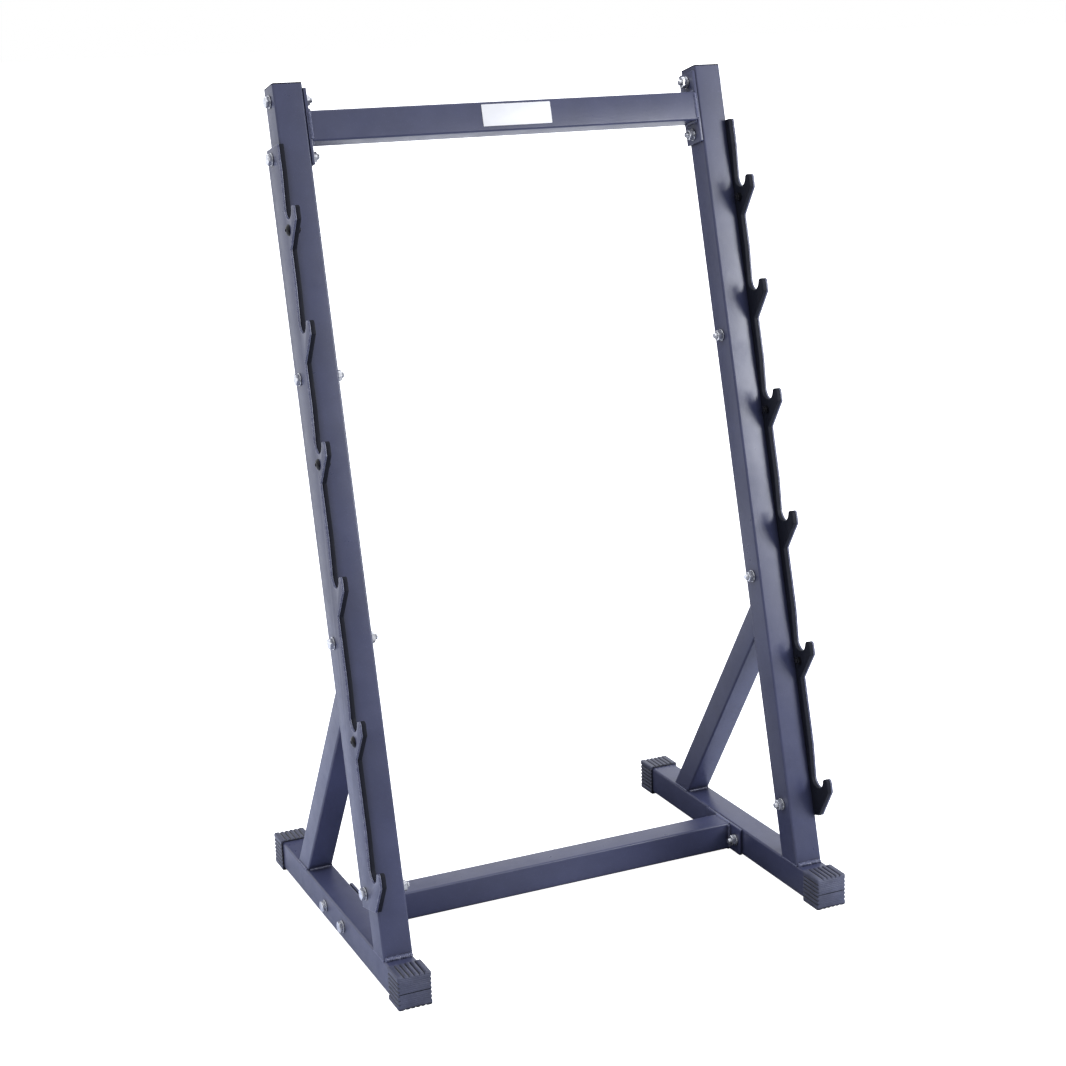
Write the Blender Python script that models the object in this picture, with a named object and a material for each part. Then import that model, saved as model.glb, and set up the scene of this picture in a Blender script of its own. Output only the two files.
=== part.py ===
"""Free-standing rack that holds fixed barbells across two leaning uprights.

Metres, +Z up. The origin is on the floor, in the middle of the footprint.
The front faces -Y, and the left side frame is at -X.

Each side frame is a base tube with ribbed end caps, an upright that leans
back, and a brace behind it. A notched steel plate is bolted to the outer side
of each upright, with a plastic liner on the inner side of the plate's front.
Two crossbars with end flanges are bolted between the side frames.

The leaning pieces are children of an empty at the front foot of the uprights.
In its frame +Z runs up along the uprights and -Y points out of their front.
"""
import math

import bmesh
import bpy
from mathutils import Vector

# Square tube of the frame
TUBE = 0.050
TUBE_WALL = 0.003
TUBE_CORNER = 0.00375
BRACE_TUBE = 0.045
BRACE_WALL = 0.0025
CORNER_STEPS = 3

# Clearance between neighbouring pieces
GAP = 0.0003

# Plan of the side frames
OUTER_WIDTH = 0.810
BASE_AHEAD = 0.071
BASE_BEHIND = 0.587
BRACE_FOOT_BEHIND = 0.4265
LOW_BAR_BEHIND = 0.251
LEAN = math.radians(13.0)
BRACE_SLOPE = math.radians(55.3)

# Ribbed caps on the ends of the base tubes
CAP_WALL = 0.0032
CAP_CORNER = 0.003
CAP_SLEEVE = 0.046
CAP_END_WALL = 0.0035
CAP_END_CHAMFER = 0.002
WALL_RIBS = 7
WALL_RIB_PITCH = 0.00735
LEVEL_RIBS = 6
LEVEL_RIB_PITCH = 0.0086
RIB_GROOVE = 0.0038
RIB_GROOVE_FLOOR = 0.0018
RIB_DEPTH = 0.0012

# Hooks, by the height of their notch bottoms along the upright
LOWEST_NOTCH = 0.130
NOTCH_PITCHES = (0.239, 0.227, 0.2125, 0.191, 0.181)
NOTCH_RADIUS = 0.019
NOTCH_REAR = 0.0065
TIP_RISE = 0.018
TIP_INNER_ROUND = 0.006
TIP_LAND = 0.0003
TIP_NOSE_ROUND = 0.006
TIP_FACE_BELOW = 0.005
FACET_DROP = 0.0415
STRIP_WIDTH = 0.0123
RAMP_TOP_RISE = 0.075
RAMP_FOOT_LAND = 0.001
ARC_STEPS = 10

# Steel plate and plastic liner
PLATE_THICKNESS = 0.008
PLATE_REAR_INSET = 0.001
PLATE_TOP_LAND = 0.1222
PLATE_FOOT_DROP = 0.0488
PLATE_FOOT_WIDTH = 0.0137
LINER_THICKNESS = 0.007
PLATE_EDGE = 0.004
LINER_PROUD = 0.001
SCREW_BELOW_NOTCH = 0.016
SCREW_AHEAD = 0.017
SCREWED_HOOKS = (("low", 1), ("mid", 3), ("high", 5))

# Crossbars, their flanges and the blank label
FLANGE_LENGTH = 0.124
FLANGE_THICKNESS = 0.005
FLANGE_HOLE_SPACING = 0.092
PLATE_TOP_BOLT_EDGE = 0.018
UPRIGHT_TOP_MARGIN = 0.0094
LABEL_WIDTH = 0.125
LABEL_HEIGHT = 0.0365
LABEL_THICKNESS = 0.0004
LABEL_OFFSET_X = 0.00975
LABEL_OFFSET_UP = 0.002
LABEL_CORNER = 0.001

# Thin plug that closes the top of an upright
PLUG_PLATE = 0.002
PLUG_STUB = 0.010
PLUG_CHAMFER = 0.0006

# Hexagon bolts, nuts and washers
BOLT_RADIUS = 0.005
BOLT_FLATS = 0.017
BOLT_HEAD = 0.0064
HEX_CHAMFER = 0.0008
NUT_HEIGHT = 0.008
WASHER_RADIUS = 0.0103
WASHER_THICKNESS = 0.002
THREAD_PAST_NUT = 0.005
THREAD_CHAMFER = 0.0008
RING_STEPS = 12

# Bolts of the plate: the notch below each and the height above it
MID_BOLTS = (("plate_mid", 1, 0.1386), ("plate_high", 3, 0.1228))
FOOT_BOLT_BELOW_NOTCH = 0.0235

# Dome headed screws and nuts that hold the liner
SCREW_RADIUS = 0.004
SCREW_HEAD_RADIUS = 0.0092
SCREW_HEAD = 0.0048
SCREW_NUT_FLATS = 0.013
SCREW_NUT = 0.0055
SCREW_PAST_NUT = 0.002

# Colours as red, green and blue, then roughness and metallic
COAT = (0.105, 0.115, 0.165, 0.38, 0.25)
LINER_PLASTIC = (0.012, 0.013, 0.016, 0.50, 0.0)
CAP_PLASTIC = (0.050, 0.052, 0.080, 0.60, 0.0)
PLUG_PLASTIC = (0.030, 0.031, 0.040, 0.55, 0.0)
ZINC = (0.62, 0.63, 0.65, 0.28, 1.0)
BLACK_STEEL = (0.015, 0.015, 0.018, 0.42, 0.6)
LABEL_WHITE = (0.88, 0.88, 0.90, 0.50, 0.0)

# Places that follow from the sizes above
CAP_SIZE = TUBE + 2 * GAP + 2 * CAP_WALL
BASE_MID = CAP_SIZE / 2
BASE_TOP = BASE_MID + TUBE / 2
BASE_LENGTH = BASE_AHEAD + BASE_BEHIND
FRONT_END = -BASE_LENGTH / 2
REAR_END = BASE_LENGTH / 2
UPRIGHT_FRONT = FRONT_END + BASE_AHEAD
OUTER = OUTER_WIDTH / 2
MID = OUTER - TUBE / 2
INNER = OUTER - TUBE
BRACE_TURN = math.pi / 2 - BRACE_SLOPE

NOTCHES = [LOWEST_NOTCH]
for pitch in NOTCH_PITCHES:
    NOTCHES.append(NOTCHES[-1] + pitch)
NOTCH_MID = NOTCH_REAR + NOTCH_RADIUS
LIP_DROP = NOTCH_RADIUS - TIP_RISE + TIP_INNER_ROUND
TIP_LIP = NOTCH_MID + math.sqrt((NOTCH_RADIUS + TIP_INNER_ROUND) ** 2 - LIP_DROP ** 2)
TIP_FRONT = TIP_LIP + TIP_LAND + TIP_NOSE_ROUND

PLATE_TOP = NOTCHES[-1] + PLATE_TOP_LAND
PLATE_FOOT = NOTCHES[0] - PLATE_FOOT_DROP
TOP_BAR = PLATE_TOP - PLATE_TOP_BOLT_EDGE + FLANGE_HOLE_SPACING / 2
UPRIGHT_TOP = TOP_BAR + FLANGE_LENGTH / 2 + UPRIGHT_TOP_MARGIN
LOW_BAR = UPRIGHT_FRONT + LOW_BAR_BEHIND
PLATE_INNER = OUTER + GAP
PLATE_OUTER = PLATE_INNER + PLATE_THICKNESS
REBATE_FLOOR = PLATE_OUTER - PLATE_EDGE
LINER_OUTER = REBATE_FLOOR - GAP
LINER_INNER = LINER_OUTER - LINER_THICKNESS
FLANGE_INNER = INNER - GAP - FLANGE_THICKNESS
BAR_HALF = FLANGE_INNER - GAP
SIDES = (("left", -1), ("right", 1))


def clear_scene():
    """Remove the objects that the scene starts with."""
    for item in list(bpy.data.objects):
        bpy.data.objects.remove(item, do_unlink=True)


def make_material(name, look):
    """Principled material with a colour, a roughness and a metallic value."""
    material = bpy.data.materials.new(name)
    material.use_nodes = True
    shader = material.node_tree.nodes["Principled BSDF"]
    shader.inputs["Base Color"].default_value = (*look[:3], 1.0)
    shader.inputs["Roughness"].default_value = look[3]
    shader.inputs["Metallic"].default_value = look[4]
    material.diffuse_color = (*look[:3], 1.0)
    return material


def make_empty(name, location, turn_x):
    """Empty that carries the pieces of one leaning or level group."""
    empty = bpy.data.objects.new(name, None)
    empty.location = location
    empty.rotation_euler = (turn_x, 0.0, 0.0)
    bpy.context.scene.collection.objects.link(empty)
    return empty


def make_piece(name, bm, look, parent, location=(0.0, 0.0, 0.0), turn=(0.0, 0.0, 0.0)):
    """Object with its own material, its faces turned outward."""
    bmesh.ops.recalc_face_normals(bm, faces=bm.faces)
    mesh = bpy.data.meshes.new(name)
    bm.to_mesh(mesh)
    bm.free()
    mesh.shade_smooth()
    mesh.set_sharp_from_angle(angle=math.radians(32.0))
    piece = bpy.data.objects.new(name, mesh)
    piece.parent = parent
    piece.location = location
    piece.rotation_euler = turn
    piece.data.materials.append(make_material(name + "_look", look))
    bpy.context.scene.collection.objects.link(piece)
    return piece


def make_cutter(name, bm, parent):
    """Guide solid that only cuts holes in other pieces."""
    cutter = make_piece(name, bm, BLACK_STEEL, parent)
    cutter.hide_render = True
    cutter.display_type = "WIRE"
    return cutter


def cut(piece, cutter):
    """Take the cutter's shape out of a piece."""
    modifier = piece.modifiers.new("holes", "BOOLEAN")
    modifier.operation = "DIFFERENCE"
    modifier.solver = "EXACT"
    modifier.object = cutter


def loft(bm, rings, closed=False):
    """Skin rings of equally many points, closed on itself or with end faces."""
    made = [[bm.verts.new(point) for point in ring] for ring in rings]
    count = len(rings[0])
    pairs = list(zip(made, made[1:]))
    if closed:
        pairs.append((made[-1], made[0]))
    else:
        bm.faces.new(made[0])
        bm.faces.new(made[-1])
    for low, high in pairs:
        for k in range(count):
            after = (k + 1) % count
            bm.faces.new((low[k], low[after], high[after], high[k]))


def arc(centre, radius, start, end, steps):
    """Points on an arc, given by its angles in degrees."""
    points = []
    for k in range(steps + 1):
        angle = math.radians(start + (end - start) * k / steps)
        points.append((centre[0] + radius * math.cos(angle), centre[1] + radius * math.sin(angle)))
    return points


def rounded_outline(width, height, radius, steps=CORNER_STEPS):
    """Outline of a rectangle with rounded corners, centred on zero."""
    points = []
    for turn, sx, sy in ((0, 1, 1), (90, -1, 1), (180, -1, -1), (270, 1, -1)):
        centre = (sx * (width / 2 - radius), sy * (height / 2 - radius))
        points += arc(centre, radius, turn, turn + 90, steps)
    return points


def tube_mesh(size, wall, low, high, shift=0.0):
    """Square tube along Z. Each end is a height and its slope along Y."""
    rings = []
    for inset, end in ((0.0, low), (0.0, high), (wall, high), (wall, low)):
        outline = rounded_outline(size - 2 * inset, size - 2 * inset, TUBE_CORNER - inset * 0.75)
        rings.append([(x, y + shift, end[0] + end[1] * (y + shift)) for x, y in outline])
    bm = bmesh.new()
    loft(bm, rings, closed=True)
    return bm


def box(bm, low, high):
    """Plain block between two corners."""
    made = bmesh.ops.create_cube(bm, size=1.0)
    low = Vector(low)
    size = Vector(high) - low
    for vert in made["verts"]:
        for k in range(3):
            vert.co[k] = low[k] + (vert.co[k] + 0.5) * size[k]


def ring_at(x, place, radius, flats=None, steps=RING_STEPS):
    """Ring of points round an axis along X. With flats it is a hexagon's rim."""
    ring = []
    for k in range(steps):
        angle = math.tau * k / steps
        reach = radius
        if flats:
            past_flat = (angle + math.pi / 6) % (math.pi / 3) - math.pi / 6
            reach = min(radius, flats / 2 / math.cos(past_flat))
        ring.append((x, place[0] + reach * math.cos(angle), place[1] + reach * math.sin(angle)))
    return ring


def hole_radius(radius, steps=RING_STEPS):
    """Corner radius of a many-sided hole that clears a shank all round."""
    return (radius + GAP) / math.cos(math.pi / steps)


def add_hole(bm, side, place, radius, low, high):
    """Cylinder along X for a cutter, from low to high on one side."""
    reach = hole_radius(radius)
    loft(bm, [ring_at(side * low, place, reach), ring_at(side * high, place, reach)])


def bolt_mesh(side, place, surface, end):
    """Hexagon bolt with the washer under its head, from the surface it seats on to its point."""
    corner = BOLT_FLATS / 2 / math.cos(math.pi / 6)
    washer = surface + GAP
    seat = washer + WASHER_THICKNESS
    top = seat + BOLT_HEAD
    rings = [
        ring_at(side * top, place, BOLT_FLATS / 2),
        ring_at(side * (top - HEX_CHAMFER), place, corner, BOLT_FLATS),
        ring_at(side * seat, place, corner, BOLT_FLATS),
        ring_at(side * seat, place, WASHER_RADIUS),
        ring_at(side * washer, place, WASHER_RADIUS),
        ring_at(side * washer, place, BOLT_RADIUS),
        ring_at(side * (end + THREAD_CHAMFER), place, BOLT_RADIUS),
        ring_at(side * end, place, BOLT_RADIUS - THREAD_CHAMFER),
    ]
    bm = bmesh.new()
    loft(bm, rings)
    return bm


def nut_mesh(side, place, surface):
    """Hexagon nut with its washer, from the surface it seats on inward."""
    corner = BOLT_FLATS / 2 / math.cos(math.pi / 6)
    washer = surface - GAP
    seat = washer - WASHER_THICKNESS
    inner = seat - NUT_HEIGHT
    reach = hole_radius(BOLT_RADIUS)
    rings = [
        ring_at(side * washer, place, WASHER_RADIUS),
        ring_at(side * seat, place, WASHER_RADIUS),
        ring_at(side * seat, place, corner, BOLT_FLATS),
        ring_at(side * (inner + HEX_CHAMFER), place, corner, BOLT_FLATS),
        ring_at(side * inner, place, BOLT_FLATS / 2),
        ring_at(side * inner, place, reach),
        ring_at(side * washer, place, reach),
    ]
    bm = bmesh.new()
    loft(bm, rings, closed=True)
    return bm


def screw_mesh(side, place, seat, nut_start):
    """Dome headed screw with its nut on it, from the surface under its head inward."""
    corner = SCREW_NUT_FLATS / 2 / math.cos(math.pi / 6)
    nut_end = nut_start - SCREW_NUT
    rings = []
    for angle in (80.0, 52.0, 26.0, 0.0):
        rise = SCREW_HEAD * math.sin(math.radians(angle))
        reach = SCREW_HEAD_RADIUS * math.cos(math.radians(angle))
        rings.append(ring_at(side * (seat + rise), place, reach))
    rings += [
        ring_at(side * seat, place, SCREW_RADIUS),
        ring_at(side * nut_start, place, SCREW_RADIUS),
        ring_at(side * nut_start, place, corner, SCREW_NUT_FLATS),
        ring_at(side * nut_end, place, corner, SCREW_NUT_FLATS),
        ring_at(side * nut_end, place, SCREW_RADIUS),
        ring_at(side * (nut_end - SCREW_PAST_NUT), place, SCREW_RADIUS),
    ]
    bm = bmesh.new()
    loft(bm, rings)
    return bm


def hook_outline(proud):
    """Front outline of the hooks as (ahead, height) points, from the top down."""
    radius = NOTCH_RADIUS - proud
    reach = radius + TIP_INNER_ROUND
    turn = math.degrees(math.asin(LIP_DROP / reach))
    lip_ahead = NOTCH_MID + math.sqrt(reach ** 2 - LIP_DROP ** 2)
    points = [(STRIP_WIDTH, PLATE_TOP)]
    for number, notch in enumerate(reversed(NOTCHES)):
        middle = (NOTCH_MID, notch + NOTCH_RADIUS)
        lip = (lip_ahead, middle[1] - LIP_DROP)
        nose = (TIP_FRONT - TIP_NOSE_ROUND, notch + TIP_RISE - TIP_NOSE_ROUND)
        points.append((STRIP_WIDTH, notch + RAMP_TOP_RISE))
        points.append((NOTCH_REAR + proud, middle[1] + RAMP_FOOT_LAND))
        points += arc(middle, radius, 180, 360 - turn, ARC_STEPS)
        points += arc(lip, TIP_INNER_ROUND, 180 - turn, 90, 4)[1:]
        points += arc(nose, TIP_NOSE_ROUND, 90, 0, 4)
        points.append((TIP_FRONT, notch - TIP_FACE_BELOW))
        if number < len(NOTCHES) - 1:
            points.append((STRIP_WIDTH, notch - TIP_FACE_BELOW - FACET_DROP))
    points.append((PLATE_FOOT_WIDTH, PLATE_FOOT))
    return points


def extrude_outline(outline, side, inner, outer):
    """Flat piece from an outline of (ahead, height) points, between two distances from the middle."""
    bm = bmesh.new()
    rings = []
    for x in (side * inner, side * outer):
        rings.append([(x, -ahead, height) for ahead, height in outline])
    loft(bm, rings)
    return bm


def cap_outline():
    """Square outline with grooves between the ribs on each of its sides."""
    half = CAP_SIZE / 2
    corner = arc((half - CAP_CORNER, half - CAP_CORNER), CAP_CORNER, 0, 90, 2)
    groove = ((-RIB_GROOVE, 0.0), (-RIB_GROOVE_FLOOR, RIB_DEPTH), (RIB_GROOVE_FLOOR, RIB_DEPTH), (RIB_GROOVE, 0.0))
    kinds = ((WALL_RIBS, WALL_RIB_PITCH), (LEVEL_RIBS, LEVEL_RIB_PITCH)) * 2
    points = []
    for turn, (ribs, pitch) in enumerate(kinds):
        quarter = []
        for k in range(ribs - 1):
            along = (k - (ribs - 2) / 2) * pitch
            for width, depth in groove:
                quarter.append((half - depth, along + width / 2))
        for x, y in quarter + corner:
            for _ in range(turn):
                x, y = -y, x
            points.append((x, y))
    return points


def cap_mesh():
    """Ribbed cap round the end of a base tube. Its sleeve opens towards +Y from the end at zero."""
    outline = cap_outline()
    shrink = 1 - 2 * CAP_END_CHAMFER / CAP_SIZE
    socket = rounded_outline(TUBE + 2 * GAP, TUBE + 2 * GAP, TUBE_CORNER + GAP)
    bm = bmesh.new()
    end = [bm.verts.new((x * shrink, 0.0, z * shrink)) for x, z in outline]
    edge = [bm.verts.new((x, CAP_END_CHAMFER, z)) for x, z in outline]
    rim = [bm.verts.new((x, CAP_SLEEVE, z)) for x, z in outline]
    mouth = [bm.verts.new((x, CAP_SLEEVE, z)) for x, z in socket]
    floor = [bm.verts.new((x, CAP_END_WALL, z)) for x, z in socket]
    bm.faces.new(end)
    bm.faces.new(floor)
    for low, high in ((end, edge), (edge, rim), (mouth, floor)):
        count = len(low)
        for k in range(count):
            after = (k + 1) % count
            bm.faces.new((low[k], low[after], high[after], high[k]))
    around = [edge_ for edge_ in bm.edges if edge_.is_boundary]
    bmesh.ops.triangle_fill(bm, use_beauty=True, use_dissolve=False, edges=around)
    return bm


def build_bolt(name, side, place, surface, inner_face, parent):
    """Bolt and nut through one stack of pieces."""
    end = inner_face - GAP - WASHER_THICKNESS - NUT_HEIGHT - THREAD_PAST_NUT
    make_piece(name + "_bolt", bolt_mesh(side, place, surface, end), ZINC, parent)
    make_piece(name + "_nut", nut_mesh(side, place, inner_face), ZINC, parent)


def build_base(label, side, level):
    """Base tube with its bolt holes and end caps. Gives the cutter of the holes."""
    start = FRONT_END + CAP_END_WALL + GAP
    end = REAR_END - CAP_END_WALL - GAP
    length = end - start
    bm = tube_mesh(TUBE, TUBE_WALL, (0.0, 0.0), (length, 0.0))
    tube = make_piece(label + "_base_tube", bm, COAT, level,
                      (side * MID, start, BASE_MID), (-math.pi / 2, 0.0, 0.0))
    for name, y, turn in (("front", FRONT_END, 0.0), ("rear", REAR_END, math.pi)):
        make_piece(f"{label}_{name}_foot_cap", cap_mesh(), CAP_PLASTIC, level,
                   (side * MID, y, CAP_SIZE / 2), (0.0, 0.0, turn))
    holes = bmesh.new()
    for name, step in (("front", -1), ("rear", 1)):
        place = (LOW_BAR + step * FLANGE_HOLE_SPACING / 2, BASE_MID)
        add_hole(holes, side, place, BOLT_RADIUS, INNER - 2 * FLANGE_THICKNESS, OUTER + TUBE_WALL)
        build_bolt(f"{label}_base_{name}", side, place, OUTER, FLANGE_INNER, level)
    cutter = make_cutter(label + "_base_holes", holes, level)
    cut(tube, cutter)
    return cutter


def build_upright(label, side, leaning):
    """Upright tube with its foot cut level, its bolt holes and its top plug."""
    foot = (GAP / math.cos(LEAN), math.tan(LEAN))
    tube_top = UPRIGHT_TOP - PLUG_PLATE - GAP
    bm = tube_mesh(TUBE, TUBE_WALL, foot, (tube_top, 0.0), shift=TUBE / 2)
    tube = make_piece(label + "_upright", bm, COAT, leaning, (side * MID, 0.0, 0.0))
    stub = TUBE - 2 * TUBE_WALL - 2 * GAP
    top = TUBE - 2 * PLUG_CHAMFER
    rings = []
    for size, height in ((stub, tube_top - PLUG_STUB), (stub, UPRIGHT_TOP - PLUG_PLATE),
                         (TUBE, UPRIGHT_TOP - PLUG_PLATE), (TUBE, UPRIGHT_TOP - PLUG_CHAMFER), (top, UPRIGHT_TOP)):
        outline = rounded_outline(size, size, TUBE_CORNER - (TUBE - size) * 0.375)
        rings.append([(x, y + TUBE / 2, height) for x, y in outline])
    plug = bmesh.new()
    loft(plug, rings)
    make_piece(label + "_upright_plug", plug, PLUG_PLASTIC, leaning, (side * MID, 0.0, 0.0))
    return tube


def build_brace(label, side, level):
    """Rear brace, cut level at its foot and to the upright's rear face at its head."""
    closing = BRACE_TURN + LEAN
    reach = BRACE_FOOT_BEHIND * math.cos(LEAN) - TUBE - GAP
    foot = (GAP / math.cos(BRACE_TURN), -math.tan(BRACE_TURN))
    head = (reach / math.sin(closing), 1 / math.tan(closing))
    bm = tube_mesh(BRACE_TUBE, BRACE_WALL, foot, head)
    make_piece(label + "_rear_brace", bm, COAT, level,
               (side * MID, UPRIGHT_FRONT + BRACE_FOOT_BEHIND, BASE_TOP), (BRACE_TURN, 0.0, 0.0))


def build_hooks(label, side, leaning):
    """Notched plate, the liner let into it and the screws that hold the liner. Gives the plate."""
    outline = hook_outline(0.0)
    rear = -(TUBE - PLATE_REAR_INSET)
    plate_outline = outline + [(rear, PLATE_FOOT), (rear, PLATE_TOP)]
    plate = make_piece(label + "_hook_plate", extrude_outline(plate_outline, side, PLATE_INNER, PLATE_OUTER),
                       COAT, leaning)
    xs = sorted((side * INNER, side * REBATE_FLOOR))
    rebate = bmesh.new()
    box(rebate, (xs[0], -TIP_FRONT - TUBE, PLATE_FOOT - TUBE), (xs[1], 0.0, PLATE_TOP + TUBE))
    cut(plate, make_cutter(label + "_liner_rebate", rebate, leaning))
    liner_outline = hook_outline(LINER_PROUD) + [(GAP, PLATE_FOOT), (GAP, PLATE_TOP)]
    liner = make_piece(label + "_hook_liner", extrude_outline(liner_outline, side, LINER_INNER, LINER_OUTER),
                       LINER_PLASTIC, leaning)
    holes = bmesh.new()
    for name, index in SCREWED_HOOKS:
        place = (-SCREW_AHEAD, NOTCHES[index] - SCREW_BELOW_NOTCH)
        add_hole(holes, side, place, SCREW_RADIUS, LINER_INNER - LINER_THICKNESS, PLATE_OUTER + PLATE_THICKNESS)
        screw = screw_mesh(side, place, PLATE_OUTER + GAP, LINER_INNER - GAP)
        make_piece(f"{label}_{name}_liner_screw", screw, BLACK_STEEL, leaning)
    cutter = make_cutter(label + "_screw_holes", holes, leaning)
    cut(plate, cutter)
    cut(liner, cutter)
    return plate


def build_flanges(label, side, level, leaning, cutters):
    """End plates of the two crossbars on one side."""
    outer = FLANGE_INNER + FLANGE_THICKNESS
    xs = sorted((side * FLANGE_INNER, side * outer))
    half = FLANGE_LENGTH / 2
    top = bmesh.new()
    box(top, (xs[0], 0.0, TOP_BAR - half), (xs[1], TUBE, TOP_BAR + half))
    cut(make_piece(label + "_top_flange", top, COAT, leaning), cutters[0])
    low = bmesh.new()
    box(low, (xs[0], LOW_BAR - half, BASE_MID - TUBE / 2), (xs[1], LOW_BAR + half, BASE_TOP))
    cut(make_piece(label + "_low_flange", low, COAT, level), cutters[1])


def upright_bolts():
    """Bolts of one upright: name, height along it, seat of the head and seat of the nut."""
    bolts = [("plate_low", NOTCHES[0] - FOOT_BOLT_BELOW_NOTCH, PLATE_OUTER, INNER)]
    for name, index, above in MID_BOLTS:
        bolts.append((name, NOTCHES[index] + above, PLATE_OUTER, INNER))
    bolts.append(("top_lower", TOP_BAR - FLANGE_HOLE_SPACING / 2, PLATE_OUTER, FLANGE_INNER))
    bolts.append(("top_upper", TOP_BAR + FLANGE_HOLE_SPACING / 2, OUTER, FLANGE_INNER))
    return bolts


def build_side(label, side, level, leaning):
    """One side frame with its hooks and fasteners."""
    base_cutter = build_base(label, side, level)
    upright = build_upright(label, side, leaning)
    build_brace(label, side, level)
    plate = build_hooks(label, side, leaning)
    holes = bmesh.new()
    for name, height, surface, inner_face in upright_bolts():
        place = (TUBE / 2, height)
        add_hole(holes, side, place, BOLT_RADIUS, INNER - 2 * FLANGE_THICKNESS, PLATE_OUTER + PLATE_THICKNESS)
        build_bolt(f"{label}_{name}", side, place, surface, inner_face, leaning)
    cutter = make_cutter(label + "_upright_holes", holes, leaning)
    cut(upright, cutter)
    cut(plate, cutter)
    build_flanges(label, side, level, leaning, (cutter, base_cutter))


def build_crossbars(level, leaning):
    """Two crossbars between the side frames, and the blank label on the upper one."""
    ends = ((-BAR_HALF, 0.0), (BAR_HALF, 0.0))
    turn = (0.0, math.pi / 2, 0.0)
    top = tube_mesh(TUBE, TUBE_WALL, *ends)
    make_piece("top_crossbar", top, COAT, leaning, (0.0, TUBE / 2, TOP_BAR), turn)
    low = tube_mesh(TUBE, TUBE_WALL, *ends)
    make_piece("low_crossbar", low, COAT, level, (0.0, LOW_BAR, BASE_MID), turn)
    outline = rounded_outline(LABEL_WIDTH, LABEL_HEIGHT, LABEL_CORNER)
    label = bmesh.new()
    loft(label, [[(x, -y, z) for x, z in outline] for y in (GAP, GAP + LABEL_THICKNESS)])
    make_piece("blank_label", label, LABEL_WHITE, leaning, (LABEL_OFFSET_X, 0.0, TOP_BAR + LABEL_OFFSET_UP))


def build_rack():
    """Build every piece of the rack."""
    clear_scene()
    level = make_empty("level_frame", (0.0, 0.0, 0.0), 0.0)
    leaning = make_empty("leaning_frame", (0.0, UPRIGHT_FRONT, BASE_TOP), -LEAN)
    for label, side in SIDES:
        build_side(label, side, level, leaning)
    build_crossbars(level, leaning)


build_rack()
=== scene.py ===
import math
import random

import bpy
from mathutils import Matrix, Vector


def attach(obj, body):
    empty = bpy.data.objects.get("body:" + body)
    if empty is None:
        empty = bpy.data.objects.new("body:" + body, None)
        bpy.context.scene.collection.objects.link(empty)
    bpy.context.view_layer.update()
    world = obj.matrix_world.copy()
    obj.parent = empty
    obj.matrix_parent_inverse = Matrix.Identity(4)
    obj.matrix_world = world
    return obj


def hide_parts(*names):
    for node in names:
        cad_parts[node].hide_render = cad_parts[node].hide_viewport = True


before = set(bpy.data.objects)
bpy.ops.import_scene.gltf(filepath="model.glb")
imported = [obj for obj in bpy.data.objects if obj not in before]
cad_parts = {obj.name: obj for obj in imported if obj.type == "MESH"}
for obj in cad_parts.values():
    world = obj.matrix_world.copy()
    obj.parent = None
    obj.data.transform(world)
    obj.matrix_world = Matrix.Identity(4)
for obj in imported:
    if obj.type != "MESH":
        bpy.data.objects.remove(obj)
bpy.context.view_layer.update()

# Sizes of the frame, in metres.
TUBE = 0.050
TUBE_WALL = 0.003
TUBE_CORNER = 0.00375
BRACE_TUBE = 0.045
BRACE_WALL = 0.0025
GAP = 0.0003
OUTER = 0.405
BASE_AHEAD = 0.071
BASE_BEHIND = 0.587
BRACE_FOOT_BEHIND = 0.4265
LOW_BAR_BEHIND = 0.251
LEAN = math.radians(13.0)
BRACE_SLOPE = math.radians(55.3)

# Foot caps. A side's ribs are given by their number and pitch.
CAP_SIZE = 0.057
CAP_SLEEVE = 0.046
CAP_END_WALL = 0.0035
CAP_ROUND = 0.0030
CAP_ROUND_TURNS = (18.0, 38.0, 60.0, 90.0)
CAP_CORNER = 0.0027
CAP_END_GROOVE = ((-0.05, -0.001, -0.0014), (0.05, 0.0009, 0.0004))
WALL_RIBS = (7, 0.00735)
LEVEL_RIBS = (6, 0.0086)
RIB_DEPTH = 0.0023
RIB_FULLNESS = 0.92
RIB_STEPS = 8

# Hook plates and their liners.
LOWEST_NOTCH = 0.130
NOTCH_PITCHES = (0.239, 0.227, 0.2125, 0.191, 0.181)
NOTCH_RADIUS = 0.019
NOTCH_REAR = 0.0065
TIP_RISE = 0.018
TIP_INNER_ROUND = 0.006
TIP_LAND = 0.0003
TIP_NOSE_ROUND = 0.006
TIP_FACE_BELOW = 0.005
FACET_DROP = 0.0415
STRIP_WIDTH = 0.0123
RAMP_TOP_RISE = 0.075
RAMP_FOOT_LAND = 0.001
NOTCH_STEPS = 22
LIP_STEPS = 8
NOSE_STEPS = 9
PLATE_THICKNESS = 0.008
PLATE_REAR_INSET = 0.001
PLATE_TOP_LAND = 0.1222
PLATE_FOOT_DROP = 0.0488
PLATE_FOOT_WIDTH = 0.0137
PLATE_ROUND = 0.0009
LINER_THICKNESS = 0.007
LINER_ROUND = 0.0011
PLATE_EDGE = 0.004
LINER_PROUD = 0.001

# Crossbar flanges, plugs and label.
FLANGE_LENGTH = 0.124
FLANGE_THICKNESS = 0.005
FLANGE_CORNER = 0.002
FLANGE_ROUND = 0.0005
FLANGE_HOLE_SPACING = 0.092
PLATE_TOP_BOLT_EDGE = 0.018
UPRIGHT_TOP_MARGIN = 0.0094
PLUG_PLATE = 0.002
PLUG_STUB = 0.010
PLUG_ROUND = 0.0008
LABEL_SIZE = (0.125, 0.0365, 0.0004)
LABEL_OFFSET = (0.00975, 0.002)
LABEL_OFF_TUBE = 0.00005
LABEL_CORNER = 0.0012
LABEL_ROUND = 0.0001

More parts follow.
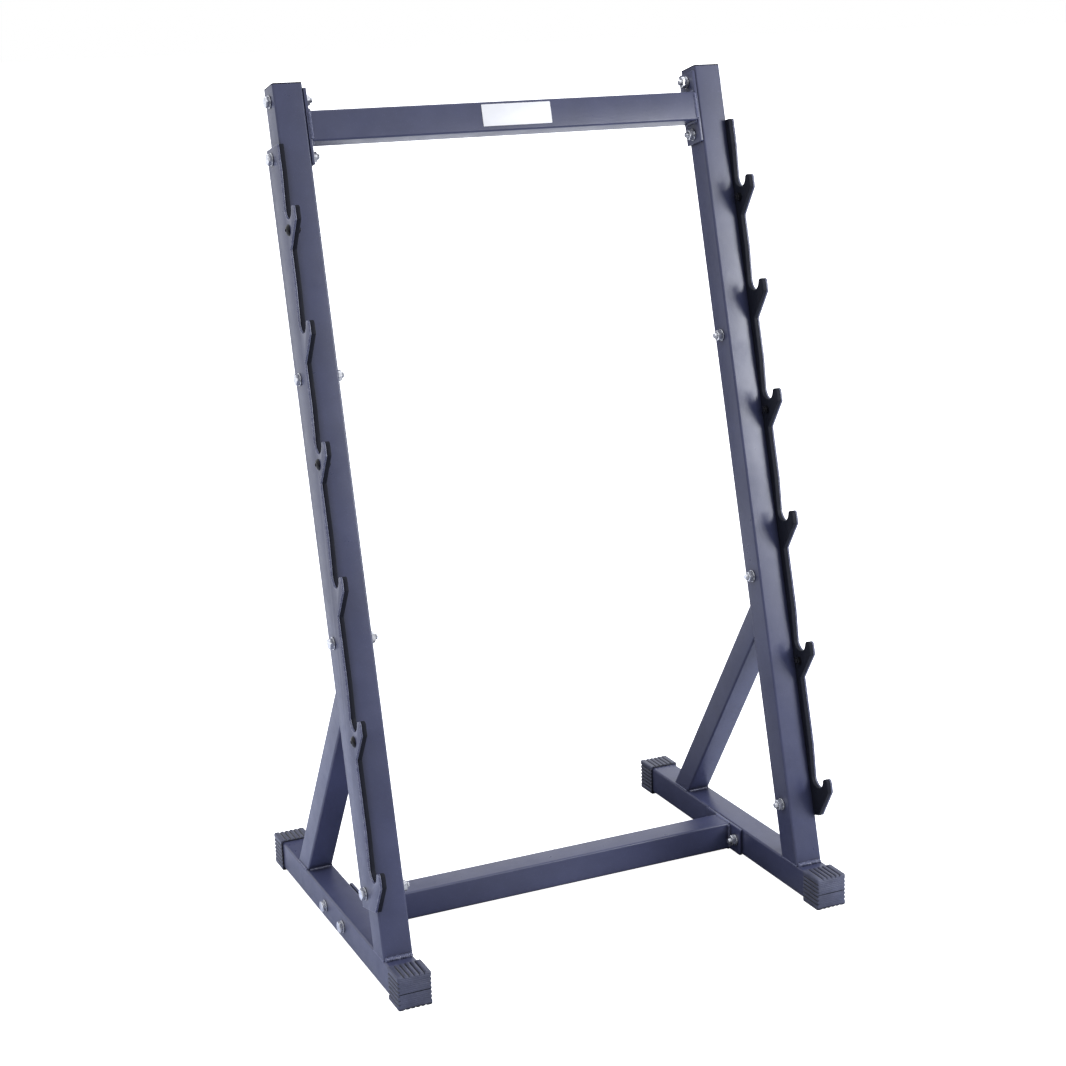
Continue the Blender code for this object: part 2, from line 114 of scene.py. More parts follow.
# Fasteners. A share is of a radius or of a height.
BOLT_RADIUS = 0.005
BOLT_FLATS = 0.017
BOLT_HEAD = 0.0063
NUT_HEIGHT = 0.008
WASHER_RADIUS = 0.0103
WASHER_THICKNESS = 0.002
THREAD_PAST_NUT = 0.005
THREAD_LENGTH = 0.020
THREAD_PITCH = 0.0015
THREAD_LAND = 0.0008
THREAD_ROOT_SHARE = 0.86
THREAD_POINT_SHARE = 0.80
NUT_BORE_SHARE = 0.98
NUT_LEAD = 0.0009
EDGE_BREAK = 0.0003
HEX_CHAMFER_SHARE = 0.97
HEX_CHAMFER_SLOPE = math.radians(28.0)
HEX_CHAMFER_STEPS = 48
FOOT_BOLT_BELOW_NOTCH = 0.0235
MID_BOLTS = (("plate_mid", 1, 0.1386), ("plate_high", 3, 0.1228))
SCREW_RADIUS = 0.004
SCREW_HEAD_RADIUS = 0.0092
SCREW_HEAD = 0.0048
SCREW_SOCKET = 0.005
SCREW_SOCKET_SHARE = 0.35
SCREW_POINT = 0.0006
SCREW_POINT_SHARE = 0.82
DOME_STEPS = 8
DOME_STEP_TURN = 10.5
SCREW_NUT_FLATS = 0.013
SCREW_NUT = 0.0055
SCREW_PAST_NUT = 0.002
SCREW_BELOW_NOTCH = 0.016
SCREW_AHEAD = 0.017
SCREWED_HOOKS = (("low", 1), ("mid", 3), ("high", 5))

# Weld beads: length, radius and the grain of their lumps.
LONG_BEAD = (0.049, 0.0038, 0.0045)
FOOT_BEAD = (0.051, 0.0050, 0.0050)
BRACE_BEAD = (0.042, 0.0033, 0.0038)
SIDE_BEAD = (0.050, 0.0022, 0.0060)
FOOT_BEAD_RISE = 0.001
SIDE_BEAD_INSET = 0.0012
SIDE_BEAD_DROP = 0.0006
BAR_BEAD_INSET = 0.0004
BAR_BEAD_CLOSE = 0.93

# Stage, in metres, and the photograph, in pixels.
FLOOR_SIZE = 4000.0
PAINTED_SHADOW_FROM = -0.05
CARD = ((-0.50, 1.30, 0.30), (0.15, 1.31, 1.75))
PANEL_SPOT = (2.17, -2.35, 1.55)
PANEL_AIM = (0.38, -0.1, 0.8)
CAMERA_SPOT = (-1.32623, -3.01406, 1.46741)
PICTURE_PIXELS = 1066
FOCAL_PIXELS = 1973.67
CENTRE_PIXELS = 450.0

# Places that follow from the sizes.
BASE_MID = CAP_SIZE / 2
BASE_TOP = BASE_MID + TUBE / 2
FRONT_END = -(BASE_AHEAD + BASE_BEHIND) / 2
REAR_END = -FRONT_END
UPRIGHT_FRONT = FRONT_END + BASE_AHEAD
MID = OUTER - TUBE / 2
INNER = OUTER - TUBE
BRACE_TURN = math.pi / 2 - BRACE_SLOPE
NOTCHES = [LOWEST_NOTCH]
for pitch in NOTCH_PITCHES:
    NOTCHES.append(NOTCHES[-1] + pitch)
NOTCH_MID = NOTCH_REAR + NOTCH_RADIUS
LIP_DROP = NOTCH_RADIUS - TIP_RISE + TIP_INNER_ROUND
TIP_LIP = NOTCH_MID + math.sqrt((NOTCH_RADIUS + TIP_INNER_ROUND) ** 2 - LIP_DROP ** 2)
TIP_FRONT = TIP_LIP + TIP_LAND + TIP_NOSE_ROUND
PLATE_TOP = NOTCHES[-1] + PLATE_TOP_LAND
PLATE_FOOT = NOTCHES[0] - PLATE_FOOT_DROP
TOP_BAR = PLATE_TOP - PLATE_TOP_BOLT_EDGE + FLANGE_HOLE_SPACING / 2
UPRIGHT_TOP = TOP_BAR + FLANGE_LENGTH / 2 + UPRIGHT_TOP_MARGIN
LOW_BAR = UPRIGHT_FRONT + LOW_BAR_BEHIND
PLATE_INNER = OUTER + GAP
PLATE_OUTER = PLATE_INNER + PLATE_THICKNESS
REBATE_FLOOR = PLATE_OUTER - PLATE_EDGE
LINER_OUTER = REBATE_FLOOR - GAP
LINER_INNER = LINER_OUTER - LINER_THICKNESS
FLANGE_INNER = INNER - GAP - FLANGE_THICKNESS
SIDES = (("left", -1), ("right", 1))
LEANING = Matrix.Translation((0.0, UPRIGHT_FRONT, BASE_TOP)) @ Matrix.Rotation(-LEAN, 4, "X")


# Handling pieces.
def hold(piece):
    """Make this piece the only one that the next operators act on."""
    bpy.ops.object.select_all(action="DESELECT")
    piece.select_set(True)
    bpy.context.view_layer.objects.active = piece


def mark(piece, kind, wanted=lambda item: True):
    """Open a piece in edit mode with only the wanted corners, edges or faces selected."""
    hold(piece)
    mesh = piece.data
    for group in (mesh.vertices, mesh.edges, mesh.polygons):
        group.foreach_set("select", [False] * len(group))
    for item in getattr(mesh, kind):
        item.select = wanted(item)
    modes = tuple(kind == word for word in ("vertices", "edges", "polygons"))
    bpy.context.tool_settings.mesh_select_mode = modes
    bpy.ops.object.mode_set(mode="EDIT")


def close_edit():
    """Leave edit mode."""
    bpy.ops.object.mode_set(mode="OBJECT")


def round_corners(piece, axis, least, radius, segments):
    """Round the edges that run along an axis for more than a length."""
    corners = piece.data.vertices

    def runs_along(edge):
        first, second = edge.vertices
        return abs((corners[first].co - corners[second].co)[axis]) > least

    mark(piece, "edges", runs_along)
    bpy.ops.mesh.bevel(offset=radius, segments=segments, affect="EDGES")
    close_edit()


def face_outward(piece):
    """Merge doubled corners and turn every face outward."""
    mark(piece, "vertices")
    bpy.ops.mesh.remove_doubles(threshold=0.000005)
    bpy.ops.mesh.normals_make_consistent(inside=False)
    close_edit()


def settle(piece, place=None):
    """Put a piece at its place and move that place into its mesh."""
    hold(piece)
    if place is not None:
        piece.matrix_world = place @ piece.matrix_world
    bpy.ops.object.transform_apply(location=True, rotation=True, scale=True)


def apply_modifier(piece, kind, **values):
    """Add a modifier, set it and apply it."""
    hold(piece)
    modifier = piece.modifiers.new(kind.title(), kind)
    for key, value in values.items():
        setattr(modifier, key, value)
    bpy.ops.object.modifier_apply(modifier=modifier.name)


def round_edges(piece, width, segments=2, angle=32.0):
    """Break the sharp edges of a piece."""
    apply_modifier(piece, "BEVEL", width=width, segments=segments, limit_method="ANGLE",
                   angle_limit=math.radians(angle), use_clamp_overlap=False)


def dress(piece, name, finish, slot, *nodes, angle=38.0):
    """Shade a finished piece, name it, give it its finish and let it ride on the rack."""
    hold(piece)
    bpy.ops.object.shade_smooth_by_angle(angle=math.radians(angle))
    piece.name = name
    piece.data.name = name
    piece.data.materials.clear()
    piece.data.materials.append(finish)
    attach(piece, "root")
    if nodes:
        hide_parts(*nodes)


def copy_of(piece):
    """Copy of a piece with a mesh of its own."""
    twin = piece.copy()
    twin.data = piece.data.copy()
    bpy.context.scene.collection.objects.link(twin)
    return twin


def discard(pieces):
    """Throw away the patterns that copies were made from."""
    for piece in pieces:
        bpy.data.objects.remove(piece, do_unlink=True)


def at(x, y, z):
    """Place at a point."""
    return Matrix.Translation((x, y, z))


def spun(angle, axis):
    """Turn about an axis."""
    return Matrix.Rotation(angle, 4, axis)


def to_side(side):
    """Half turn about Z that takes a fastener made for the right side to the left one."""
    return spun(math.pi, "Z") if side < 0 else Matrix.Identity(4)


# Shapes.
def block(low, high):
    """Plain block between two corners."""
    bpy.ops.object.select_all(action="DESELECT")
    low, high = Vector(low), Vector(high)
    bpy.ops.mesh.primitive_cube_add(size=1.0, location=(low + high) / 2, scale=high - low)
    piece = bpy.context.object
    settle(piece)
    return piece


def trace(points, ending):
    """Line drawn corner by corner. It stays open, is closed to a ring, or is filled."""
    bpy.ops.object.select_all(action="DESELECT")
    bpy.ops.mesh.primitive_plane_add(size=0.001, location=points[0])
    piece = bpy.context.object
    settle(piece)
    mark(piece, "vertices")
    bpy.ops.mesh.merge(type="CENTER")
    for before, after in zip(points, points[1:]):
        step = Vector(after) - Vector(before)
        bpy.ops.mesh.extrude_vertices_move(TRANSFORM_OT_translate={"value": step})
    close_edit()
    if ending == "filled":
        mark(piece, "vertices")
        bpy.ops.mesh.edge_face_add()
        close_edit()
    if ending == "ring":
        ends = (0, len(points) - 1)
        mark(piece, "vertices", lambda corner: corner.index in ends)
        bpy.ops.mesh.edge_face_add()
        close_edit()
    return piece


def turned(profile, steps=40):
    """Turned shape about X from (x, radius) points. Ends on the axis are closed."""
    on_axis = profile[0][1] < 1e-7 and profile[-1][1] < 1e-7
    piece = trace([(x, radius, 0.0) for x, radius in profile], "open" if on_axis else "ring")
    mark(piece, "vertices")
    bpy.ops.mesh.spin(steps=steps, angle=math.tau, center=(0, 0, 0), axis=(1, 0, 0))
    close_edit()
    face_outward(piece)
    return piece


def join(pieces):
    """Join loose shapes into one piece."""
    bpy.ops.object.select_all(action="DESELECT")
    for piece in pieces:
        piece.select_set(True)
    bpy.context.view_layer.objects.active = pieces[0]
    bpy.ops.object.join()
    return pieces[0]


def carve(piece, tool, operation="DIFFERENCE"):
    """Cut a piece with a tool shape, which is then thrown away."""
    apply_modifier(piece, "BOOLEAN", operation=operation, solver="EXACT", object=tool)
    discard([tool])


def arc(centre, radius, start, end, steps):
    """Points on an arc, given by its angles in degrees."""
    points = []
    for k in range(steps + 1):
        angle = math.radians(start + (end - start) * k / steps)
        points.append((centre[0] + radius * math.cos(angle), centre[1] + radius * math.sin(angle)))
    return points


def hook_outline(proud):
    """Front outline of the hooks as (ahead, height) points, from the top down.

    In the notches it stands proud of the plate's own outline by the amount given.
    """
    radius = NOTCH_RADIUS - proud
    reach = radius + TIP_INNER_ROUND
    turn = math.degrees(math.asin(LIP_DROP / reach))
    lip_ahead = NOTCH_MID + math.sqrt(reach ** 2 - LIP_DROP ** 2)
    points = [(STRIP_WIDTH, PLATE_TOP)]
    for number, notch in enumerate(reversed(NOTCHES)):
        middle = (NOTCH_MID, notch + NOTCH_RADIUS)
        lip = (lip_ahead, middle[1] - LIP_DROP)
        nose = (TIP_FRONT - TIP_NOSE_ROUND, notch + TIP_RISE - TIP_NOSE_ROUND)
        points.append((STRIP_WIDTH, notch + RAMP_TOP_RISE))
        points.append((NOTCH_REAR + proud, middle[1] + RAMP_FOOT_LAND))
        points += arc(middle, radius, 180, 360 - turn, NOTCH_STEPS)
        points += arc(lip, TIP_INNER_ROUND, 180 - turn, 90, LIP_STEPS)[1:]
        points += arc(nose, TIP_NOSE_ROUND, 90, 0, NOSE_STEPS)
        points.append((TIP_FRONT, notch - TIP_FACE_BELOW))
        if number < len(NOTCHES) - 1:
            points.append((STRIP_WIDTH, notch - TIP_FACE_BELOW - FACET_DROP))
    points.append((PLATE_FOOT_WIDTH, PLATE_FOOT))
    return points


def ribbed_outline():
    """Outline of a foot cap: rounded ribs between sharp grooves on all four sides."""
    half = CAP_SIZE / 2
    fall = 1 - math.sqrt(1 - RIB_FULLNESS ** 2)
    points = []
    for turn, (ribs, pitch) in enumerate((WALL_RIBS, LEVEL_RIBS) * 2):
        side = []
        for rib in range(ribs):
            middle = (rib - (ribs - 1) / 2) * pitch
            last = rib == ribs - 1
            for step in range(RIB_STEPS + 1 if last else RIB_STEPS):
                across = step / (RIB_STEPS / 2) - 1
                depth = (1 - math.sqrt(1 - (RIB_FULLNESS * across) ** 2)) / fall
                if (rib == 0 and across < 0) or (last and across > 0):
                    depth = 0.0
                side.append((half - RIB_DEPTH * depth, middle + across * pitch / 2))
        side += arc((half - CAP_CORNER, half - CAP_CORNER), CAP_CORNER, 0, 90, 4)
        for x, y in side:
            for _ in range(turn):
                x, y = -y, x
            points.append((x, y))
    return points


# Finishes.
def node_maker(tree):
    """Function that adds a node to a tree, links what feeds it and sets its values."""
    def add(kind, links=None, **values):
        node = tree.nodes.new(kind)
        for key, value in values.items():
            if key in node.inputs:
                node.inputs[key].default_value = value
            else:
                setattr(node, key, value)
        for key, source in (links or {}).items():
            tree.links.new(source, node.inputs[key])
        return node

    return add


def new_finish(name):
    """New material, its shader and the function that adds nodes to it."""
    material = bpy.data.materials.new(name)
    material.use_nodes = True
    tree = material.node_tree
    return material, tree.nodes["Principled BSDF"], node_maker(tree)


def feed(node, socket, source):
    """Link a value to a node's socket."""
    node.id_data.links.new(source, node.inputs[socket])


def speckle(add, where, scale, detail=2.0, roughness=0.5):
    """Noise over a space."""
    noise = add("ShaderNodeTexNoise", {"Vector": where},
                Scale=scale, Detail=detail, Roughness=roughness)
    return noise.outputs["Fac"]


def between(add, source, low, high, to_low=0.0, to_high=1.0):
    """Map a value from one range to another, held within its ends."""
    node = add("ShaderNodeMapRange", {"Value": source})
    ends = (("From Min", low), ("From Max", high), ("To Min", to_low), ("To Max", to_high))
    for key, value in ends:
        node.inputs[key].default_value = value
    return node.outputs["Result"]


def reckon(add, operation, *terms):
    """Result of an operation on terms, each a plain number or linked."""
    node = add("ShaderNodeMath", operation=operation)
    for place, term in enumerate(terms):
        if isinstance(term, float):
            node.inputs[place].default_value = term
        else:
            feed(node, place, term)
    return node.outputs[0]


def blend_colours(add, factor, first, second):
    """Mix two colours by a factor, each a plain colour or linked."""
    node = add("ShaderNodeMix", {"Factor": factor}, data_type="RGBA")
    for place, colour in ((6, first), (7, second)):
        if isinstance(colour, tuple):
            node.inputs[place].default_value = (*colour, 1.0)
        else:
            feed(node, place, colour)
    return node.outputs[2]


def toned(colour, share, lift=0.0):
    """Colour made darker or paler by a share, then lifted."""
    return tuple(value * share + lift for value in colour)


def skin(add, shader, height, strength, distance):
    """Fine relief of a surface."""
    bump = add("ShaderNodeBump", {"Height": height}, Strength=strength, Distance=distance)
    feed(shader, "Normal", bump.outputs["Normal"])


def worn_and_lit_edges(add, reach):
    """Value that is high along the rounded edges of a piece, for wear and a painted highlight."""
    eased = add("ShaderNodeBevel", samples=4, Radius=reach).outputs["Normal"]
    plain = add("ShaderNodeNewGeometry").outputs["Normal"]
    match = add("ShaderNodeVectorMath", {0: eased, 1: plain}, operation="DOT_PRODUCT")
    return between(add, match.outputs["Value"], 0.995, 0.90)


def crevice_shade_mask(add, reach, clear=0.80, deep=0.35):
    """Value that is high in grooves and where pieces meet, for painted shade."""
    open_share = add("ShaderNodeAmbientOcclusion", samples=6, Distance=reach).outputs["AO"]
    return between(add, open_share, clear, deep)


def powder_coat(name, colour, peel=0.14, low=0.27, high=0.38, worn_and_lit_lift=0.02, reach=0.0015):
    """Satin powder coat: orange peel, faint clouds, edges paled by wear and a painted highlight,
    and painted shade in corners.
    """
    material, shader, add = new_finish(name)
    where = add("ShaderNodeTexCoord").outputs["Object"]
    cloud = between(add, speckle(add, where, 9.0, detail=4.0, roughness=0.6), 0.35, 0.65)
    tint = blend_colours(add, cloud, toned(colour, 0.90), toned(colour, 1.12))
    grit = between(add, speckle(add, where, 420.0), 0.62, 0.80, 0.0, 0.30)
    fleck = blend_colours(add, grit, tint, toned(colour, 2.2))
    patchy = speckle(add, where, 150.0, detail=4.0, roughness=0.7)
    # Rounded edges paled: partly wear, partly a painted highlight.
    edge_wear_and_highlight = reckon(add, "MULTIPLY", worn_and_lit_edges(add, reach),
                    between(add, patchy, 0.35, 0.65, 0.1, 0.6))
    lit_worn_colour = blend_colours(add, edge_wear_and_highlight, fleck, toned(colour, 2.0, worn_and_lit_lift))
    # Painted shade: the base colour darkens to a fifth in corners and where pieces meet.
    painted_shade = crevice_shade_mask(add, 0.0140, clear=0.95, deep=0.25)
    feed(shader, "Base Color", blend_colours(add, painted_shade, lit_worn_colour, toned(colour, 0.20)))
    haze = speckle(add, where, 24.0, detail=5.0, roughness=0.7)
    feed(shader, "Roughness", between(add, haze, 0.3, 0.7, low, high))
    skin(add, shader, speckle(add, where, 650.0, detail=3.0), peel, 0.0004)
    return material


def moulded_plastic(name, colour, low, high, grain, depth, gloss):
    """Moulded plastic with a fine grain and paler scuffs."""
    material, shader, add = new_finish(name)
    where = add("ShaderNodeTexCoord").outputs["Object"]
    stretch = add("ShaderNodeMapping", {"Vector": where}, Scale=(1.0, 1.0, 0.25))
    scuff = speckle(add, stretch.outputs["Vector"], 55.0, detail=6.0, roughness=0.75)
    feed(shader, "Base Color", blend_colours(add, between(add, scuff, 0.52, 0.78, 0.0, 0.8),
                                             colour, toned(colour, 1.8, 0.004)))
    patch = speckle(add, where, 30.0, detail=4.0)
    feed(shader, "Roughness", between(add, patch, 0.3, 0.7, low, high))
    skin(add, shader, speckle(add, where, grain, detail=3.0), depth, 0.0003)
    shader.inputs["Specular IOR Level"].default_value = gloss
    return material


def ridged_plastic(name, colour):
    """Plastic of the foot caps: rib edges paled by wear and a painted highlight, painted shade in
    the grooves, fine level ridges on the end faces.
    """
    material, shader, add = new_finish(name)
    where = add("ShaderNodeTexCoord").outputs["Object"]
    cloud = speckle(add, where, 40.0, detail=5.0, roughness=0.7)
    tint = blend_colours(add, between(add, cloud, 0.4, 0.75, 0.0, 0.7),
                         colour, toned(colour, 1.6, 0.005))
    # Rib edges paled: partly wear, partly a painted highlight on the crests.
    edge = reckon(add, "MULTIPLY", worn_and_lit_edges(add, 0.0008),
                  between(add, cloud, 0.3, 0.6, 0.15, 0.6))
    edge_wear_and_highlight = blend_colours(add, edge, tint, toned(colour, 2.6, 0.02))
    # Painted shade: the grooves darken nearly to black.
    painted_shade = crevice_shade_mask(add, 0.0060, clear=0.97, deep=0.62)
    feed(shader, "Base Color", blend_colours(add, painted_shade, edge_wear_and_highlight, toned(colour, 0.04)))
    feed(shader, "Roughness", between(add, cloud, 0.3, 0.7, 0.30, 0.46))
    wave = add("ShaderNodeTexWave", {"Vector": where}, wave_type="BANDS", bands_direction="Z",
               Scale=95.0, Distortion=2.0, Detail=1.5)
    facing = add("ShaderNodeSeparateXYZ",
                 {"Vector": add("ShaderNodeNewGeometry").outputs["True Normal"]})
    lengthwise = reckon(add, "ABSOLUTE", facing.outputs["Y"])
    ridges = reckon(add, "MULTIPLY", wave.outputs["Fac"], between(add, lengthwise, 0.9, 0.97))
    grain = reckon(add, "ADD", ridges, speckle(add, where, 500.0))
    skin(add, shader, grain, 0.8, 0.0005)
    shader.inputs["Specular IOR Level"].default_value = 0.32
    return material


def plated_steel(name, colour, low, high, tarnish, metal, gloss):
    """Plated or blackened steel with fine tool marks, uneven shine and painted shade in its
    hollows.
    """
    material, shader, add = new_finish(name)
    where = add("ShaderNodeTexCoord").outputs["Object"]
    patch = speckle(add, where, 260.0, detail=4.0, roughness=0.65)
    bright = blend_colours(add, between(add, patch, 0.35, 0.7),
                           colour, toned(colour, 1.0 - tarnish))
    # Painted shade: hollows and seats darken to a fifth of the colour.
    painted_shade = crevice_shade_mask(add, 0.0030)
    feed(shader, "Base Color", blend_colours(add, painted_shade, bright, toned(colour, 0.20)))
    feed(shader, "Roughness", between(add, patch, 0.3, 0.7, low, high))
    skin(add, shader, speckle(add, where, 1400.0), 0.12, 0.0002)
    shader.inputs["Metallic"].default_value = metal
    shader.inputs["Specular IOR Level"].default_value = gloss
    return material


def blank_sticker(name):
    """Blank white vinyl with a slight sheen and faint mottling."""
    material, shader, add = new_finish(name)
    where = add("ShaderNodeTexCoord").outputs["Object"]
    mottle = speckle(add, where, 60.0, detail=3.0)
    feed(shader, "Base Color",
         blend_colours(add, mottle, (0.72, 0.72, 0.73), (0.80, 0.80, 0.81)))
    feed(shader, "Roughness", between(add, mottle, 0.3, 0.7, 0.38, 0.5))
    skin(add, shader, speckle(add, where, 900.0), 0.05, 0.0002)
    return material


COAT_BLUE = (0.043, 0.048, 0.098)
COAT = powder_coat("satin_powder_coat", COAT_BLUE)
# Pale edges on the plates: wear and a painted highlight.
PLATE_COAT = powder_coat("hook_plate_coat", COAT_BLUE, peel=0.18, worn_and_lit_lift=0.50, reach=0.0030)
# Same paint as the frame, made paler: a painted highlight on the weld beads.
LIT_WELD_COAT = powder_coat("weld_bead_lit_coat", (0.085, 0.092, 0.160), peel=0.25, low=0.22, high=0.34)
LINER = moulded_plastic("liner_plastic", (0.007, 0.008, 0.014), low=0.50, high=0.68,
                        grain=380.0, depth=0.25, gloss=0.16)
PLUG = moulded_plastic("plug_plastic", (0.014, 0.015, 0.022), low=0.42, high=0.55,
                       grain=420.0, depth=0.15, gloss=0.4)
CAP = ridged_plastic("foot_cap_plastic", (0.052, 0.056, 0.088))
ZINC = plated_steel("bright_zinc_plate", (0.90, 0.91, 0.94), low=0.10, high=0.26,
                    tarnish=0.55, metal=0.85, gloss=0.5)
BLACKENED = plated_steel("blackened_steel", (0.008, 0.008, 0.010), low=0.09, high=0.16,
                         tarnish=0.25, metal=0.0, gloss=0.22)
STICKER = blank_sticker("blank_white_label")


# Tubes.
def square_tube(size, wall, low, high, shift=0.0):
    """Hollow square tube along Z. Each end is cut at a height, with a slope along Y."""
    spare = 0.08
    half = size / 2
    tube = block((-half, shift - half, low[0] - spare), (half, shift + half, high[0] + spare))
    round_corners(tube, 2, 0.1, TUBE_CORNER, 7)
    for (height, slope), at_foot in ((low, True), (high, False)):
        mark(tube, "polygons")
        bpy.ops.mesh.bisect(plane_co=(0, 0, height), plane_no=(0, -slope, 1), use_fill=True,
                            clear_inner=at_foot, clear_outer=not at_foot)
        close_edit()
    mark(tube, "polygons", lambda face: abs(face.normal.z) > 0.4)
    bpy.ops.mesh.inset(thickness=wall)
    bpy.ops.mesh.bridge_edge_loops()
    close_edit()
    face_outward(tube)
    return tube


def make_tubes():
    """Tubes of both side frames and both crossbars."""
    closing = BRACE_TURN + LEAN
    reach = BRACE_FOOT_BEHIND * math.cos(LEAN) - TUBE - GAP
    start = FRONT_END + CAP_END_WALL + GAP
    half = FLANGE_INNER - GAP
    upright = square_tube(TUBE, TUBE_WALL, (GAP / math.cos(LEAN), math.tan(LEAN)),
                          (UPRIGHT_TOP - PLUG_PLATE - GAP, 0.0), TUBE / 2)
    base = square_tube(TUBE, TUBE_WALL, (0.0, 0.0), (-2 * start, 0.0))
    brace = square_tube(BRACE_TUBE, BRACE_WALL,
                        (GAP / math.cos(BRACE_TURN), -math.tan(BRACE_TURN)),
                        (reach / math.sin(closing), 1 / math.tan(closing)))
    bar = square_tube(TUBE, TUBE_WALL, (-half, 0.0), (half, 0.0))
    lying = at(0.0, start, BASE_MID) @ spun(-math.pi / 2, "X")
    propped = at(0.0, UPRIGHT_FRONT + BRACE_FOOT_BEHIND, BASE_TOP) @ spun(BRACE_TURN, "X")
    crosswise = spun(math.pi / 2, "Y")
    pieces = []
    for label, side in SIDES:
        across = at(side * MID, 0.0, 0.0)
        pieces.append((upright, f"{label}_upright", across @ LEANING))
        pieces.append((base, f"{label}_base_tube", across @ lying))
        pieces.append((brace, f"{label}_rear_brace", across @ propped))
    pieces.append((bar, "top_crossbar", LEANING @ at(0.0, TUBE / 2, TOP_BAR) @ crosswise))
    pieces.append((bar, "low_crossbar", at(0.0, LOW_BAR, BASE_MID) @ crosswise))
    for tube, node, place in pieces:
        piece = copy_of(tube)
        settle(piece, place)
        dress(piece, f"{node}_steel", COAT, "frame_coat", node)
    discard([upright, base, brace, bar])


# Plates.
def make_hooks():
    """Hook plates and the liners let into them, cut to the outline of the hooks."""
    rear = -(TUBE - PLATE_REAR_INSET)
    plate = hook_outline(0.0) + [(rear, PLATE_FOOT), (rear, PLATE_TOP)]
    liner = hook_outline(LINER_PROUD) + [(GAP, PLATE_FOOT), (GAP, PLATE_TOP)]
    for outline, inner, outer, edge, finish, slot, node in (
            (plate, PLATE_INNER, PLATE_OUTER, PLATE_ROUND, PLATE_COAT, "plate_coat", "hook_plate"),
            (liner, LINER_INNER, LINER_OUTER, LINER_ROUND, LINER, "liner_plastic", "hook_liner")):
        flat = trace([(0.0, -ahead, height) for ahead, height in outline], "filled")
        for label, side in SIDES:
            piece = copy_of(flat)
            settle(piece, at(side * inner, 0.0, 0.0))
            mark(piece, "polygons")
            step = (side * (outer - inner), 0.0, 0.0)
            bpy.ops.mesh.extrude_region_move(TRANSFORM_OT_translate={"value": step})
            close_edit()
            face_outward(piece)
            if node == "hook_plate":
                low, high = sorted((side * INNER, side * REBATE_FLOOR))
                carve(piece, block((low, -TIP_FRONT - TUBE, PLATE_FOOT - TUBE),
                                   (high, 0.0, PLATE_TOP + TUBE)))
            round_edges(piece, edge, 3)
            settle(piece, LEANING)
            dress(piece, f"{label}_{node}_cut", finish, slot, f"{label}_{node}", angle=34.0)
        discard([flat])


def make_flanges():
    """End plates of the crossbars."""
    half, thin = FLANGE_LENGTH / 2, FLANGE_THICKNESS / 2
    top = LEANING @ at(0, TUBE / 2, TOP_BAR)
    low = at(0, LOW_BAR, BASE_MID)
    for name, place, y, z in (("top_flange", top, TUBE / 2, half),
                              ("low_flange", low, half, TUBE / 2)):
        flange = block((-thin, -y, -z), (thin, y, z))
        round_corners(flange, 0, 0.001, FLANGE_CORNER, 3)
        round_edges(flange, FLANGE_ROUND, 2, 60.0)
        for label, side in SIDES:
            piece = copy_of(flange)
            settle(piece, place @ at(side * (FLANGE_INNER + thin), 0, 0))
            dress(piece, f"{label}_{name}_steel", COAT, "frame_coat", f"{label}_{name}")
        discard([flange])


# Foot caps, plugs and label.
def make_foot_caps():
    """Ribbed end caps of the base tubes, modelled once and turned into their four places."""
    cap = trace([(x, CAP_ROUND, z) for x, z in ribbed_outline()], "filled")
    mark(cap, "polygons")
    sleeve = (0.0, CAP_SLEEVE - CAP_ROUND, 0.0)
    bpy.ops.mesh.extrude_region_move(TRANSFORM_OT_translate={"value": sleeve})
    close_edit()
    face_outward(cap)
    mark(cap, "polygons", lambda face: face.normal.y < -0.9)
    size, front = CAP_SIZE / 2, CAP_ROUND
    for turn in CAP_ROUND_TURNS:
        new_front = CAP_ROUND * (1 - math.sin(math.radians(turn)))
        new_size = CAP_SIZE / 2 - CAP_ROUND * (1 - math.cos(math.radians(turn)))
        step = (0.0, new_front - front, 0.0)
        bpy.ops.mesh.extrude_region_move(TRANSFORM_OT_translate={"value": step})
        share = new_size / size
        bpy.ops.transform.resize(value=(share, 1.0, share), center_override=(0.0, 0.0, 0.0))
        size, front = new_size, new_front
    close_edit()
    reach = TUBE / 2 + GAP
    past = CAP_SLEEVE + 0.01
    socket = block((-reach, CAP_END_WALL, -reach), (reach, past, reach))
    round_corners(socket, 1, 0.02, TUBE_CORNER, 4)
    carve(cap, socket)
    carve(cap, block(*CAP_END_GROOVE))
    for label, side in SIDES:
        for name, y, turn in (("front", FRONT_END, 0.0), ("rear", REAR_END, math.pi)):
            piece = copy_of(cap)
            settle(piece, at(side * MID, y, BASE_MID) @ spun(turn, "Z"))
            dress(piece, f"{label}_{name}_ribbed_cap", CAP, "cap_plastic",
                  f"{label}_{name}_foot_cap")
    discard([cap])


def make_plugs():
    """Thin plugs in the tops of the uprights."""
    plug = block((-TUBE / 2, 0.0, UPRIGHT_TOP - PLUG_PLATE), (TUBE / 2, TUBE, UPRIGHT_TOP))
    round_corners(plug, 2, 0.001, TUBE_CORNER, 6)
    mark(plug, "polygons", lambda face: face.normal.z < -0.9)
    bpy.ops.mesh.inset(thickness=TUBE_WALL + GAP)
    stub = (0.0, 0.0, -PLUG_STUB)
    bpy.ops.mesh.extrude_region_move(TRANSFORM_OT_translate={"value": stub})
    close_edit()
    round_edges(plug, PLUG_ROUND, 3, 60.0)
    for label, side in SIDES:
        piece = copy_of(plug)
        settle(piece, LEANING @ at(side * MID, 0.0, 0.0))
        dress(piece, f"{label}_top_plug", PLUG, "plug_plastic", f"{label}_upright_plug")
    discard([plug])


